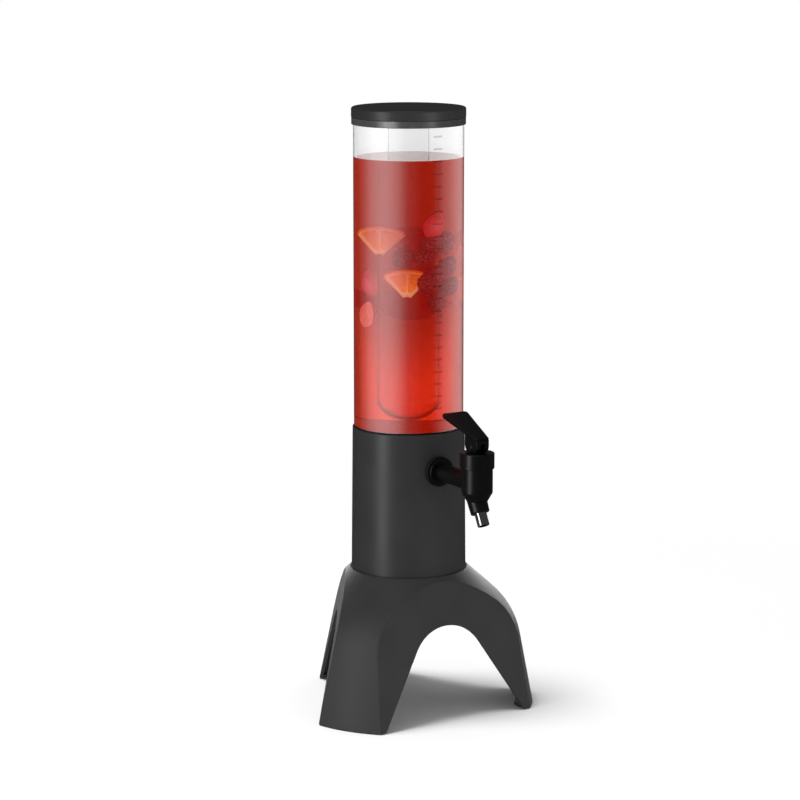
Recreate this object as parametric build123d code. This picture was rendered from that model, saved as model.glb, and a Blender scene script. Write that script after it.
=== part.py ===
from build123d import *
import os
from math import cos, pi, radians, sin, sqrt, tan

# A drink tower for a table: a three-legged base, a lower housing with a tap, a clear drink tube with an
# ice tube hanging in it, and a lid. Millimetres. The origin is on the tower's axis at the table, +Z is up,
# and the tap faces -Y. The legs stand at 60 degrees either side of the tap and straight behind it.

# Base: a bell of revolution flattened by three leaning panels, with an arch cut through each
base_height = 129.5
foot_radius = 115.5
shoulder_radius = 98.7
shoulder_height = 89.4
shoulder_round = 74.0
rim_width = 1.2
base_wall = 3.0
panel_distance = 83.4
panel_lean = 11.3
crease_round = 2.0
arch_half_width = 75.0
arch_apex = 122.4
arch_round = 39.3
sole_thickness = 3.0
sole_depth = 16.0
rib_thickness = 2.4
rib_foot_height = 64.0
leg_angles = {"foot_left": -150.0, "foot_right": -30.0, "foot_rear": 90.0}
panel_angles = [0.0, 120.0, 240.0]

# Rubber feet, each a disc with a stem pushed through the sole of a leg
foot_stand = 1.0
foot_diameter = 11.0
foot_recess = 1.0
foot_inset = 9.0
foot_clearance = 0.4
foot_stem_diameter = 5.0
foot_head_diameter = 6.5
foot_head_height = 2.0

# Socket in the base and the ring that the housing turns onto
socket_depth = 14.0
socket_clearance = 0.4
deck_thickness = 3.0
deck_hole_radius = 36.0
ring_height = 11.0
ring_width = 11.0
ring_clearance = 0.4
lug_height = 4.0
lug_lift = 4.0
lug_reach = 3.4
lug_span = 12.0
lug_clearance = 0.3
lug_slack_angle = 1.0
twist_angle = 28.0
lug_angles = [30.0, 150.0, 270.0]
screw_diameter = 4.0
screw_head_diameter = 7.0
screw_head_height = 2.4
screw_grip = 7.0
screw_fit = 0.05
screw_angle_from_lug = 75.0
screw_cover = 1.0

# Lower housing
housing_height = 145.5
housing_bottom_radius = 52.7
housing_top_radius = 51.3
housing_wall = 3.0
housing_edge_round = 0.8
floor_drop = 20.5
floor_slope = 3.0
floor_thickness = 3.0

# Clear drink tube and the gaskets under and over it
tube_diameter = 100.0
tube_wall = 3.2
tube_length = 283.5
neck_length = 16.0
neck_wall = 2.7
neck_clearance = 0.1
gasket_thickness = 1.0
rim_gasket_leg = 0.6
rim_gasket_band = 6.3
rim_gasket_round = 0.6

# Ice tube, hung by its flange
ice_diameter = 40.0
ice_wall = 2.0
ice_length = 280.0
ice_flange_thickness = 2.0
ice_guide_width = 1.6
ice_guide_depth = 3.0
ice_guide_clearance = 0.3

# Lid
lid_wall = 1.0
lid_clearance = 0.2
lid_plate = 2.5
lid_skirt = 9.0
lid_edge_round = 1.8
lid_lip_round = 0.4
lid_press_height = 1.0
lid_press_width = 2.0

# Tap body, its nut and gaskets
tap_height_over_deck = 111.5
tap_reach = 116.0
shank_diameter = 16.0
shank_bore = 9.0
shank_fit = 0.2
shank_inner_end = 34.5
flange_diameter = 25.0
flange_thickness = 3.0
flange_round = 1.0
outer_gasket_diameter = 27.0
outer_gasket_face = 55.5
inner_gasket_diameter = 26.0
inner_gasket_face = 43.5
seat_fit = 0.05
nut_across_flats = 24.0
nut_thickness = 7.0
barrel_diameter = 27.8
barrel_over_shank = 14.5
barrel_under_shank = 15.2
barrel_taper_height = 7.7
barrel_end_diameter = 19.0
barrel_neck_diameter = 24.0
barrel_neck_height = 9.0
chamber_diameter = 18.5
chamber_floor_drop = 5.8
seat_lip_height = 0.8
seat_lip_width = 2.0

# Bonnet, stem, valve and lever
bonnet_diameter = 30.6
bonnet_height = 14.0
bonnet_fit = 0.1
bonnet_edge_round = 1.0
bonnet_foot_round = 0.5
bonnet_seal_thickness = 0.8
stem_diameter = 6.0
stem_fit = 0.1
stem_flat = 4.0
stem_disc_diameter = 12.0
stem_disc_thickness = 1.5
cup_diameter = 15.0
cup_height = 7.0
cup_gap = 0.1
cup_stem_depth = 5.0
spring_wire = 1.0
spring_diameter = 11.0
spring_turns = 6
spring_end_gap = 0.1
pin_diameter = 3.0
pin_fit = 0.05
pin_press = 0.01
lever_width = 13.0
lever_front_depth = 9.2
lever_back_depth = 10.8
lever_heel_round = 6.5
lever_slot_clearance = 0.2
cam_offset = 3.0
cam_phase = 30.0
cam_gap = 0.15
paddle_top_over_pin = 8.4
paddle_slope = 19.0
paddle_reach = 38.5
paddle_tip_width = 27.0
paddle_thickness = 3.4
paddle_corner_round = 3.0
paddle_edge_round = 0.8
lever_edge_round = 0.6

# Spout under the barrel
spout_tilt = 28.0
spigot_diameter = 12.0
spigot_length = 5.6
spigot_fit = 0.1
outlet_bore = 8.0
spout_seal_width = 0.8
spout_seal_height = 1.5
spout_seal_drop = 2.0
elbow_top_diameter = 18.6
elbow_end_diameter = 17.0
elbow_length = 11.7
elbow_edge_round = 0.8
nozzle_diameter = 10.8
nozzle_wall = 1.2
nozzle_free_length = 11.8
nozzle_grip = 4.4
nozzle_grip_diameter = 10.0
nozzle_fit = 0.05
nozzle_end_round = 0.3

# Places that follow from the sizes above
deck_z = base_height - socket_depth
foot_place = foot_radius - foot_inset
sole_inner_radius = foot_radius - sole_depth
sole_top_z = foot_stand + sole_thickness
socket_radius = housing_bottom_radius + socket_clearance
rim_radius = socket_radius + rim_width
housing_top_z = deck_z + housing_height
skirt_radius = housing_bottom_radius - housing_wall
bore_radius = housing_top_radius - housing_wall
tube_radius = tube_diameter / 2
tube_inner_radius = tube_radius - tube_wall
neck_radius = bore_radius - neck_clearance
tube_bottom_z = housing_top_z + gasket_thickness
tube_top_z = tube_bottom_z + tube_length
flange_bottom_z = tube_top_z + gasket_thickness
flange_top_z = flange_bottom_z + ice_flange_thickness
lid_under_z = flange_top_z + lid_press_height
lid_top_z = lid_under_z + lid_plate
lid_inner_radius = tube_radius + rim_gasket_leg + lid_clearance
tap_z = deck_z + tap_height_over_deck
floor_z = tap_z - floor_drop
barrel_top_z = tap_z + barrel_over_shank
barrel_bottom_z = tap_z - barrel_under_shank
barrel_neck_top_z = barrel_top_z + barrel_neck_height
chamber_floor_z = tap_z - chamber_floor_drop
bonnet_top_z = barrel_top_z + bonnet_height
bonnet_under_z = barrel_neck_top_z + bonnet_seal_thickness
cup_bottom_z = chamber_floor_z + seat_lip_height + cup_gap
cup_top_z = cup_bottom_z + cup_height
stem_disc_top_z = cup_top_z + stem_disc_thickness
cam_radius = lever_front_depth - cam_offset * cos(radians(cam_phase))
pin_over_bonnet = cam_radius - cam_offset * sin(radians(cam_phase)) + cam_gap
pin_z = bonnet_top_z + pin_over_bonnet
valve_lift = 2 * cam_offset * sin(radians(cam_phase))

HIGH = 1000.0
OVERCUT = 1.0
UPWARD = (Align.CENTER, Align.CENTER, Align.MIN)
DOWNWARD = (Align.CENTER, Align.CENTER, Align.MAX)
to_front = Rot(90, 0, 0)
tap_place = Pos(0, -tap_reach, 0)
spout_place = Pos(0, -tap_reach, barrel_bottom_z) * Rot(-spout_tilt, 0, 0)


def disc(radius, low, high):
    """An upright cylinder on the tower's axis between two heights."""
    return Pos(0, 0, low) * Cylinder(radius, high - low, align=UPWARD)


def ring(inner_radius, outer_radius, low, high):
    """An upright ring on the tower's axis between two heights."""
    return disc(outer_radius, low, high) - disc(inner_radius, low - OVERCUT, high + OVERCUT)


def front_rod(radius, near, far):
    """A level cylinder through the tap's axis, between two distances in front of the tower's axis."""
    return Pos(0, -near, tap_z) * to_front * Cylinder(radius, far - near, align=UPWARD)


def turned(outline):
    """A solid turned round the tower's axis from a closed outline of radius and height."""
    return revolve(make_face(Plane.XZ * outline), axis=Axis.Z)


def bell(inset):
    """The bell of the base, moved in by a wall: a flared leg line, a large round and a sloping shoulder."""
    foot = Vector(foot_radius, 0)
    shoulder = Vector(shoulder_radius, shoulder_height)
    rim = Vector(rim_radius, base_height)
    leg_out = (shoulder - foot).normalized().rotate(Axis.Z, -90)
    slope_out = (rim - shoulder).normalized().rotate(Axis.Z, -90)
    low = foot - leg_out * inset
    corner = shoulder - (leg_out + slope_out) * (inset / (1 + leg_out.dot(slope_out)))
    high = rim - slope_out * inset
    side = FilletPolyline(low, corner, high, radius=shoulder_round - inset)
    ends = Polyline(high, (0, high.Y), (0, low.Y), low)
    solid = turned(side + ends)
    lean = radians(panel_lean)
    away = Plane((0, inset / cos(lean) - panel_distance, 0), z_dir=(0, -cos(lean), sin(lean)))
    for angle in panel_angles:
        solid -= Rot(0, 0, angle) * (away * Box(HIGH, HIGH, HIGH, align=UPWARD))
    return solid


def arches():
    """Three arches, straight-sided with a round crown, cut out from the middle through each panel."""
    sides = Polyline((-arch_half_width, 0), (0, arch_apex), (arch_half_width, 0), close=True)
    outline = make_face(Plane.XZ * sides)
    crown = outline.vertices().sort_by(Axis.Z)[-1]
    arch = extrude(fillet(crown, arch_round), foot_radius, dir=(0, -1, 0))
    return [Rot(0, 0, angle) * arch for angle in panel_angles]


def leg_places():
    """Where each rubber foot sits under its leg."""
    return {name: Rot(0, 0, angle) * Pos(foot_place, 0, 0) for name, angle in leg_angles.items()}


def screw_places():
    """Where each screw of the twist-lock ring stands."""
    ring_radius = skirt_radius - ring_clearance
    place = ring_radius - lug_reach - ring_clearance - screw_diameter / 2 - screw_cover
    return [Rot(0, 0, angle + screw_angle_from_lug) * Pos(place, 0, 0) for angle in lug_angles]


def base_shell():
    """The base: shell, arches, soles, socket cup with its deck, and a rib behind each leg."""
    outer = bell(0)
    panels = outer.faces().filter_by(GeomType.PLANE).filter_by(Axis.Z, reverse=True)
    creases = [edge for edge in panels.edges() if edge.center().Z > crease_round]
    outer = fillet(creases, crease_round)
    hollow = bell(base_wall) - ring(sole_inner_radius, foot_radius, -base_wall, sole_top_z)
    shell = outer - hollow

    deck_under = deck_z - deck_thickness
    shell += disc(socket_radius + base_wall, deck_under, base_height) & hollow
    gusset = Polyline(
        (socket_radius, deck_under),
        (foot_radius, rib_foot_height),
        (foot_radius, base_height),
        (socket_radius, base_height),
        close=True,
    )
    rib = extrude(make_face(Plane.XZ * gusset), rib_thickness / 2, both=True) & hollow
    for angle in leg_angles.values():
        shell += Rot(0, 0, angle) * rib

    shell -= disc(socket_radius, deck_z, base_height + OVERCUT)
    shell -= disc(deck_hole_radius, deck_under - OVERCUT, base_height)
    shell -= arches()
    shell -= disc(foot_radius, -OVERCUT, foot_stand)
    for place in leg_places().values():
        shell -= place * disc(foot_diameter / 2 + foot_clearance, 0, foot_stand + foot_recess)
        shell -= place * disc(foot_stem_diameter / 2 + screw_fit, 0, sole_top_z + OVERCUT)
    for place in screw_places():
        shell -= place * disc(screw_diameter / 2 + screw_fit, deck_under - OVERCUT, deck_z + OVERCUT)
    return shell


def rubber_foot(place):
    """A rubber foot: disc under the sole, stem through it, head above it."""
    foot = disc(foot_diameter / 2, 0, foot_stand + foot_recess)
    foot += disc(foot_stem_diameter / 2, foot_stand, sole_top_z + foot_head_height)
    foot += disc(foot_head_diameter / 2, sole_top_z, sole_top_z + foot_head_height)
    return place * foot


def sector(radius, low, high, start, span):
    """A slice of an upright cylinder, from an angle on through a span."""
    wedge = Cylinder(radius, high - low, arc_size=span, align=(Align.NONE, Align.NONE, Align.MIN))
    return Pos(0, 0, low) * Rot(0, 0, start) * wedge


def twist_lock_ring():
    """The ring on the deck: each lug of the housing drops down a slot and turns along a groove."""
    outer_radius = skirt_radius - ring_clearance
    groove_radius = skirt_radius - lug_reach - ring_clearance
    top = deck_z + ring_height
    groove_low = deck_z + lug_lift - lug_clearance
    groove_high = deck_z + lug_lift + lug_height + lug_clearance
    lock = ring(outer_radius - ring_width, outer_radius, deck_z, top)
    slot_span = lug_span + 2 * lug_slack_angle
    for angle in lug_angles:
        start = angle - slot_span / 2
        groove = sector(HIGH, groove_low, groove_high, start, slot_span + twist_angle)
        entry = sector(HIGH, groove_low, top + OVERCUT, start + twist_angle, slot_span)
        lock -= (groove + entry) - disc(groove_radius, 0, HIGH)
    for place in screw_places():
        lock -= place * disc(screw_diameter / 2 + screw_fit, deck_z - OVERCUT, deck_z + screw_grip + OVERCUT)
    return lock


def ring_screws():
    """Three screws, put in from under the deck."""
    head_top = deck_z - deck_thickness
    screw = disc(screw_head_diameter / 2, head_top - screw_head_height, head_top)
    screw += disc(screw_diameter / 2, head_top, deck_z + screw_grip)
    return Compound(children=[place * screw for place in screw_places()])


def housing_envelope(grow):
    """The outside of the lower housing, grown by a gap: a gentle cone."""
    cone = Cone(housing_bottom_radius + grow, housing_top_radius + grow, housing_height, align=UPWARD)
    return Pos(0, 0, deck_z) * cone


def lower_housing():
    """The housing: a cup with a sloping floor over an open skirt, lugs in the skirt, a hole for the tap."""
    body = housing_envelope(0)
    body = fillet(body.edges().group_by(Axis.Z)[-1], housing_edge_round)
    floor_plane = Pos(0, 0, floor_z) * Rot(floor_slope, 0, 0)
    under_plane = Pos(0, 0, floor_z - floor_thickness) * Rot(floor_slope, 0, 0)
    slab = Box(HIGH, HIGH, HIGH, align=DOWNWARD)
    cup = disc(bore_radius, deck_z, housing_top_z + OVERCUT) - floor_plane * slab
    skirt = disc(skirt_radius, deck_z - OVERCUT, floor_z + housing_bottom_radius) & under_plane * slab
    body -= cup
    body -= skirt
    lug_low = deck_z + lug_lift
    grip = skirt_radius + housing_wall / 2
    for angle in lug_angles:
        lug = sector(grip, lug_low, lug_low + lug_height, angle - lug_span / 2, lug_span)
        body += lug - disc(skirt_radius - lug_reach, 0, HIGH)
    body -= front_rod(shank_diameter / 2 + shank_fit, 0, HIGH)
    return body


def tube_gasket():
    """The flat ring under the shoulder of the clear tube."""
    return ring(neck_radius + neck_clearance, tube_radius, housing_top_z, tube_bottom_z)


def drink_tube():
    """The clear tube, with a thinner neck that goes down into the housing."""
    neck_inner = neck_radius - neck_wall
    outline = Polyline(
        (neck_inner, tube_bottom_z - neck_length),
        (neck_radius, tube_bottom_z - neck_length),
        (neck_radius, tube_bottom_z),
        (tube_radius, tube_bottom_z),
        (tube_radius, tube_top_z),
        (tube_inner_radius, tube_top_z),
        (tube_inner_radius, tube_bottom_z + tube_wall),
        (neck_inner, tube_bottom_z + tube_wall - (tube_inner_radius - neck_inner)),
        close=True,
    )
    return turned(outline)


def rim_gasket():
    """The soft ring over the rim of the tube: a flat top, a thin leg and a thicker band under the lid."""
    band_high = lid_top_z - lid_skirt - lid_clearance
    band_low = band_high - rim_gasket_band
    band = disc(lid_inner_radius + lid_wall - lid_clearance, band_low, band_high)
    band = fillet(band.edges(), rim_gasket_round)
    band += disc(tube_radius + rim_gasket_leg, band_low, flange_bottom_z)
    return band - disc(tube_radius, 0, tube_top_z) - disc(tube_inner_radius, 0, HIGH)


def ice_tube():
    """The ice tube: a round-ended tube with a flange that rests on the rim and a guide inside the bore."""
    radius = ice_diameter / 2
    bottom_z = flange_top_z - ice_length
    body = disc(radius, bottom_z + radius, flange_top_z) + Pos(0, 0, bottom_z + radius) * Sphere(radius)
    body += disc(tube_radius, flange_bottom_z, flange_top_z)
    guide = tube_inner_radius - ice_guide_clearance
    body += ring(guide - ice_guide_width, guide, flange_bottom_z - ice_guide_depth, flange_top_z)
    inner = radius - ice_wall
    body -= disc(inner, bottom_z + radius, flange_top_z + OVERCUT)
    body -= Pos(0, 0, bottom_z + radius) * Sphere(inner)
    return body


def lid():
    """The lid: a shallow cap with a rounded top edge and a ring inside that presses on the flange."""
    body = disc(lid_inner_radius + lid_wall, lid_top_z - lid_skirt, lid_top_z)
    body = fillet(body.edges().group_by(Axis.Z)[-1], lid_edge_round)
    body = fillet(body.edges().group_by(Axis.Z)[0], lid_lip_round)
    body -= disc(lid_inner_radius, lid_top_z - lid_skirt - OVERCUT, lid_under_z)
    press_inner = tube_inner_radius - lid_press_width
    body += ring(press_inner, tube_inner_radius, flange_top_z, lid_under_z + lid_plate / 2)
    return body


def outer_gasket():
    """The round washer under the tap's flange, saddled to the housing."""
    pad = front_rod(outer_gasket_diameter / 2, 0, outer_gasket_face)
    return pad - housing_envelope(seat_fit) - front_rod(shank_diameter / 2 + shank_fit, 0, HIGH)


def inner_gasket():
    """The round washer inside the wall, saddled to the bore."""
    pad = front_rod(inner_gasket_diameter / 2, inner_gasket_face, housing_bottom_radius)
    pad &= disc(bore_radius - seat_fit, 0, HIGH)
    return pad - front_rod(shank_diameter / 2 + shank_fit, 0, HIGH)


def tap_nut():
    """The hexagon nut on the shank, against the inner gasket."""
    hexagon = RegularPolygon(nut_across_flats / 2, 6, major_radius=False)
    nut = extrude(hexagon, nut_thickness)
    nut = Pos(0, nut_thickness - inner_gasket_face, tap_z) * to_front * nut
    return nut - front_rod(shank_diameter / 2 + seat_fit, 0, HIGH)


def tap_body():
    """The tap: shank with its flange, barrel with a tapered end, valve chamber and outlet spigot."""
    spigot_low = barrel_bottom_z - spigot_length
    outline = Polyline(
        (0, spigot_low),
        (spigot_diameter / 2, spigot_low),
        (spigot_diameter / 2, barrel_bottom_z),
        (barrel_end_diameter / 2, barrel_bottom_z),
        (barrel_diameter / 2, barrel_bottom_z + barrel_taper_height),
        (barrel_diameter / 2, barrel_top_z),
        (barrel_neck_diameter / 2, barrel_top_z),
        (barrel_neck_diameter / 2, barrel_neck_top_z),
        (0, barrel_neck_top_z),
        close=True,
    )
    barrel = turned(outline)
    taper_top = barrel_bottom_z + barrel_taper_height
    bend = barrel.edges().filter_by(GeomType.CIRCLE).sort_by(lambda edge: abs(edge.center().Z - taper_top))[0]
    barrel = fillet(bend, barrel_taper_height / 2)
    body = tap_place * barrel
    body += front_rod(shank_diameter / 2, shank_inner_end, tap_reach)
    flange = front_rod(flange_diameter / 2, outer_gasket_face, outer_gasket_face + flange_thickness)
    body += fillet(flange.edges().group_by(Axis.Y)[0], flange_round)
    seat_top = chamber_floor_z + seat_lip_height
    chamber = disc(chamber_diameter / 2, chamber_floor_z, barrel_neck_top_z + OVERCUT)
    chamber -= disc(shank_bore / 2 + seat_lip_width, chamber_floor_z, seat_top)
    body -= tap_place * chamber
    body -= tap_place * disc(outlet_bore / 2, spigot_low - OVERCUT, seat_top)
    body -= front_rod(shank_bore / 2, 0, tap_reach)
    seal_top = barrel_bottom_z - spout_seal_drop
    body -= tap_place * ring(
        spigot_diameter / 2 - spout_seal_width, spigot_diameter, seal_top - spout_seal_height, seal_top
    )
    return body


def spout_seal():
    """The ring in the groove of the outlet spigot."""
    seal_top = barrel_bottom_z - spout_seal_drop
    inner = spigot_diameter / 2 - spout_seal_width
    outer = spigot_diameter / 2 + spigot_fit / 2
    return tap_place * ring(inner, outer, seal_top - spout_seal_height, seal_top)


def spout_elbow():
    """The tilted piece that is pushed onto the spigot and holds the nozzle."""
    cone = Cone(
        elbow_end_diameter / 2,
        elbow_top_diameter / 2,
        elbow_length + elbow_top_diameter / 2,
        align=UPWARD,
    )
    cone = fillet(cone.edges().group_by(Axis.Z)[0], elbow_edge_round)
    elbow = spout_place * Pos(0, 0, -elbow_length) * cone
    elbow -= Pos(0, 0, barrel_bottom_z) * Box(HIGH, HIGH, HIGH, align=UPWARD)
    spigot_low = barrel_bottom_z - spigot_length
    elbow -= tap_place * disc(spigot_diameter / 2 + spigot_fit, spigot_low, barrel_bottom_z)
    elbow -= spout_place * disc(outlet_bore / 2, -elbow_length, 0)
    grip_radius = nozzle_grip_diameter / 2 + nozzle_fit
    elbow -= spout_place * disc(grip_radius, -elbow_length - OVERCUT, nozzle_grip - elbow_length)
    return elbow


def spout_nozzle():
    """The bright tube at the end of the spout, with a thinner end held in the elbow."""
    shoulder = -elbow_length
    free_end = shoulder - nozzle_free_length
    held_end = shoulder + nozzle_grip
    nozzle = disc(nozzle_diameter / 2, free_end, shoulder)
    nozzle = fillet(nozzle.edges().group_by(Axis.Z)[0], nozzle_end_round)
    nozzle += disc(nozzle_grip_diameter / 2, shoulder, held_end)
    nozzle -= disc(nozzle_diameter / 2 - nozzle_wall, free_end - OVERCUT, held_end + OVERCUT)
    return spout_place * nozzle


def tap_bonnet():
    """The cap on the barrel: a skirt round the barrel's neck and a plate that guides the stem."""
    cap = disc(bonnet_diameter / 2, barrel_top_z, bonnet_top_z)
    cap = fillet(cap.edges().group_by(Axis.Z)[-1], bonnet_edge_round)
    cap = fillet(cap.edges().group_by(Axis.Z)[0], bonnet_foot_round)
    cap -= disc(barrel_neck_diameter / 2 + bonnet_fit, barrel_top_z - OVERCUT, bonnet_under_z)
    cap -= disc(stem_diameter / 2 + stem_fit, barrel_top_z, bonnet_top_z + OVERCUT)
    return tap_place * cap


def bonnet_seal():
    """The flat ring between the barrel's neck and the bonnet."""
    inner, outer = chamber_diameter / 2, barrel_neck_diameter / 2
    return tap_place * ring(inner, outer, barrel_neck_top_z, bonnet_under_z)


def pin_hole(radius):
    """A cylinder across the tap, on the lever's pin."""
    return Pos(0, -tap_reach, pin_z) * Rot(0, 90, 0) * Cylinder(radius, lever_width * 2)


def valve_stem():
    """The stem: a rod with a disc for the spring, a tip in the cup and a flat round-ended head."""
    stem = disc(stem_diameter / 2, cup_top_z - cup_stem_depth, pin_z)
    stem += disc(stem_disc_diameter / 2, cup_top_z, stem_disc_top_z)
    flat_low = bonnet_top_z - valve_lift - lever_slot_clearance
    side = Box(HIGH, HIGH, HIGH, align=(Align.MIN, Align.CENTER, Align.MIN))
    flat = Pos(stem_flat / 2, 0, flat_low) * side
    stem -= flat
    stem -= Rot(0, 0, 180) * flat
    stem += Pos(0, 0, pin_z) * Rot(0, 90, 0) * Cylinder(stem_diameter / 2, stem_flat)
    return tap_place * stem - pin_hole(pin_diameter / 2 + pin_press)


def seat_cup():
    """The soft plug on the stem that closes the outlet."""
    cup = disc(cup_diameter / 2, cup_bottom_z, cup_top_z)
    cup -= disc(stem_diameter / 2, cup_top_z - cup_stem_depth, cup_top_z + OVERCUT)
    return tap_place * cup


def lever_pin():
    """The pin through the lever's foot and the stem's head."""
    pin = Cylinder(pin_diameter / 2, lever_width - 2 * pin_fit)
    return Pos(0, -tap_reach, pin_z) * Rot(0, 90, 0) * pin


def tap_lever():
    """The lever: a foot whose rounded front is the cam, slotted for the stem, and a flared paddle."""
    bottom = cam_gap - pin_over_bonnet
    rise = tan(radians(paddle_slope))
    middle = paddle_top_over_pin - paddle_thickness / 2
    foot_outline = Polyline(
        (-lever_front_depth, bottom),
        (lever_back_depth, bottom),
        (lever_back_depth, middle + (lever_front_depth + lever_back_depth) * rise),
        (-lever_front_depth, middle),
        close=True,
    )
    outline = make_face(Plane.YZ * foot_outline)
    front = outline.vertices().group_by(Axis.Z)[0].sort_by(Axis.Y)[0]
    outline = fillet(front, cam_radius)
    back = outline.vertices().group_by(Axis.Z)[0].sort_by(Axis.Y)[-1]
    outline = fillet(back, lever_heel_round)
    lever = extrude(outline, lever_width / 2, both=True)
    flanks = lever.faces().filter_by(Plane.YZ)
    lever = fillet(flanks.edges(), lever_edge_round)

    length = (paddle_reach + lever_front_depth) / cos(radians(paddle_slope))
    plan = Polyline(
        (-lever_width / 2, 0),
        (lever_width / 2, 0),
        (paddle_tip_width / 2, length),
        (-paddle_tip_width / 2, length),
        close=True,
    )
    paddle = make_face(plan)
    paddle = fillet(paddle.vertices().group_by(Axis.Y)[-1], paddle_corner_round)
    paddle = extrude(paddle, -paddle_thickness)
    paddle = fillet(paddle.edges(), paddle_edge_round)
    lever += Pos(0, -lever_front_depth, paddle_top_over_pin) * Rot(paddle_slope, 0, 0) * paddle

    slot_edge = stem_diameter / 2 + lever_slot_clearance
    slot_width = stem_flat + 2 * lever_slot_clearance
    slot = Box(slot_width, HIGH, HIGH, align=(Align.CENTER, Align.MAX, Align.MAX))
    lever -= Pos(0, slot_edge, slot_edge) * slot
    return Pos(0, -tap_reach, pin_z) * lever - pin_hole(pin_diameter / 2 + pin_fit)


def biarc(start, start_way, end, end_way):
    """Two arcs that leave one point and reach another along given directions."""
    span = end - start
    ways = start_way + end_way
    square = 4 - ways.dot(ways)
    along = span.dot(ways)
    reach = (sqrt(along * along + square * span.dot(span)) - along) / square
    middle = (start + end + (start_way - end_way) * reach) * 0.5
    middle_way = (end - end_way * reach - start - start_way * reach).normalized()
    return [Edge.make_tangent_arc(start, start_way, middle), Edge.make_tangent_arc(middle, middle_way, end)]


def valve_spring():
    """The spring round the stem, one wire wound from the stem's disc to the bonnet."""
    radius = (spring_diameter - spring_wire) / 2
    low = stem_disc_top_z + spring_end_gap + spring_wire / 2
    high = bonnet_under_z - spring_end_gap - spring_wire / 2
    quarters = 4 * spring_turns
    climb = (high - low) / quarters
    edges = []
    ends = []
    for step in range(quarters + 1):
        angle = step * pi / 2
        way = Vector(-sin(angle) * radius * pi / 2, cos(angle) * radius * pi / 2, climb).normalized()
        ends.append((Vector(cos(angle) * radius, sin(angle) * radius, low + climb * step), way))
    for (start, start_way), (end, end_way) in zip(ends, ends[1:]):
        edges += biarc(start, start_way, end, end_way)
    path = Wire(edges)
    section = Plane(ends[0][0], z_dir=ends[0][1]) * Circle(spring_wire / 2)
    print("spring: least gap between turns", round(4 * climb - spring_wire, 2), "mm")
    return tap_place * sweep(section, path=path)


parts = {
    "base_shell": base_shell(),
    "twist_lock_ring": twist_lock_ring(),
    "ring_screws": ring_screws(),
    "lower_housing": lower_housing(),
    "tube_gasket": tube_gasket(),
    "drink_tube": drink_tube(),
    "rim_gasket": rim_gasket(),
    "ice_tube": ice_tube(),
    "lid": lid(),
    "outer_gasket": outer_gasket(),
    "inner_gasket": inner_gasket(),
    "tap_nut": tap_nut(),
    "tap_body": tap_body(),
    "tap_bonnet": tap_bonnet(),
    "bonnet_seal": bonnet_seal(),
    "valve_stem": valve_stem(),
    "seat_cup": seat_cup(),
    "valve_spring": valve_spring(),
    "lever_pin": lever_pin(),
    "tap_lever": tap_lever(),
    "spout_seal": spout_seal(),
    "spout_elbow": spout_elbow(),
    "spout_nozzle": spout_nozzle(),
}
for name, place in leg_places().items():
    parts[name] = rubber_foot(place)

os.makedirs("parts", exist_ok=True)
for name, shape in parts.items():
    export_step(shape, f"parts/{name}.step")
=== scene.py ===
import bmesh
import bpy
from math import cos, pi, radians, sin, sqrt
from mathutils import Euler, Matrix, Vector


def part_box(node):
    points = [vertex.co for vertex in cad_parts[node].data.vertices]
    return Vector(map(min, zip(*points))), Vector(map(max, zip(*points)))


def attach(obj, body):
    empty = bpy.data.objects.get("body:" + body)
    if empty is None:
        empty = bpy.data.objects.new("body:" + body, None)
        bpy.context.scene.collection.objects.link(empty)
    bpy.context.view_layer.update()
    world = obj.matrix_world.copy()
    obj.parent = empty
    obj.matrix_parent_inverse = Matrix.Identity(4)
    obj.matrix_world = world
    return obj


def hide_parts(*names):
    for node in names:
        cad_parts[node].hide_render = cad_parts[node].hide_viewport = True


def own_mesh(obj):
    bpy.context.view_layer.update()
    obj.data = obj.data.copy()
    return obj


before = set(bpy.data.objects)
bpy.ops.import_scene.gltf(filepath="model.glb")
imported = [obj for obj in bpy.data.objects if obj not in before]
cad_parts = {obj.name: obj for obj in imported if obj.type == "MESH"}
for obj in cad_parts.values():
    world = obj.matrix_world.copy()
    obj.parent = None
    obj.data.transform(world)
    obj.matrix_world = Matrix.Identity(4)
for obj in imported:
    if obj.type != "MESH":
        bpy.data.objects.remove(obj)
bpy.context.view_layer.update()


# Base: a three-legged bell that carries the tower, injection moulded in one shell from dark grey ABS.
# The mould's spark-eroded texture leaves it satin, so lights spread into soft bands on it.
MM = 0.001


def linear(code):
    """An sRGB hex colour as linear RGBA."""
    parts = [int(code[i : i + 2], 16) / 255 for i in (1, 3, 5)]
    return [p / 12.92 if p <= 0.04045 else ((p + 0.055) / 1.055) ** 2.4 for p in parts] + [1.0]


def add_node(tree, kind, settings=None, links=None, stops=()):
    """Adds a node. A setting is an input's value or else a property, a link comes from an output,
    and the stops of a ramp are places and colours."""
    made = tree.nodes.new(kind)
    for name, value in (settings or {}).items():
        if isinstance(name, int) or name in made.inputs:
            made.inputs[name].default_value = value
        else:
            setattr(made, name, value)
    for name, source in (links or {}).items():
        tree.links.new(source, made.inputs[name])
    for index, (at, code) in enumerate(stops):
        made.color_ramp.elements[index].position = at
        made.color_ramp.elements[index].color = linear(code)
    return made


def new_material(name):
    """An empty node material and its tree."""
    material = bpy.data.materials.new(name)
    material.use_nodes = True
    material.node_tree.nodes.clear()
    return material, material.node_tree


def dress(material, *names):
    """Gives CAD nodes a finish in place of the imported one."""
    for name in names:
        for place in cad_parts[name].material_slots:
            place.material = material


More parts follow.
